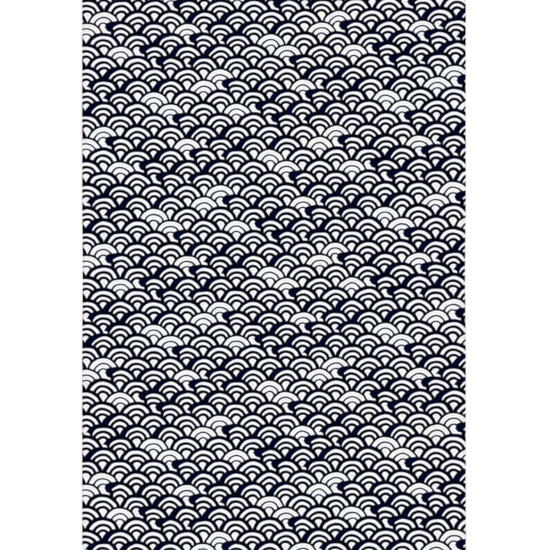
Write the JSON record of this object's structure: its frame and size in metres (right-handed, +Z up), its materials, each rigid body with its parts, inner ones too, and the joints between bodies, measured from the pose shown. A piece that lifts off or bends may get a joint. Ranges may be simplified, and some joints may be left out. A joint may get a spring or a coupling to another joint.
{
  "type": "tenugui towel",
  "caption": "Flat rectangular hand towel of thin plain-woven cotton, dyed all over with overlapping wave scales, with woven side edges and plain cut ends.",
  "frame": {"origin": "middle of the underside's bounding box, on the surface that the cloth lies on", "axes": "+X across the cloth from selvedge to selvedge, +Y along its length, +Z up out of its face"},
  "size_m": [0.34, 0.9, 0.0012],
  "materials": {
    "dyed_cotton": "matt plain-woven cotton, dark navy and black dye with undyed white waves"
  },
  "bodies": {
    "root": {"towel": "dyed_cotton"}
  },
  "joints": []
}
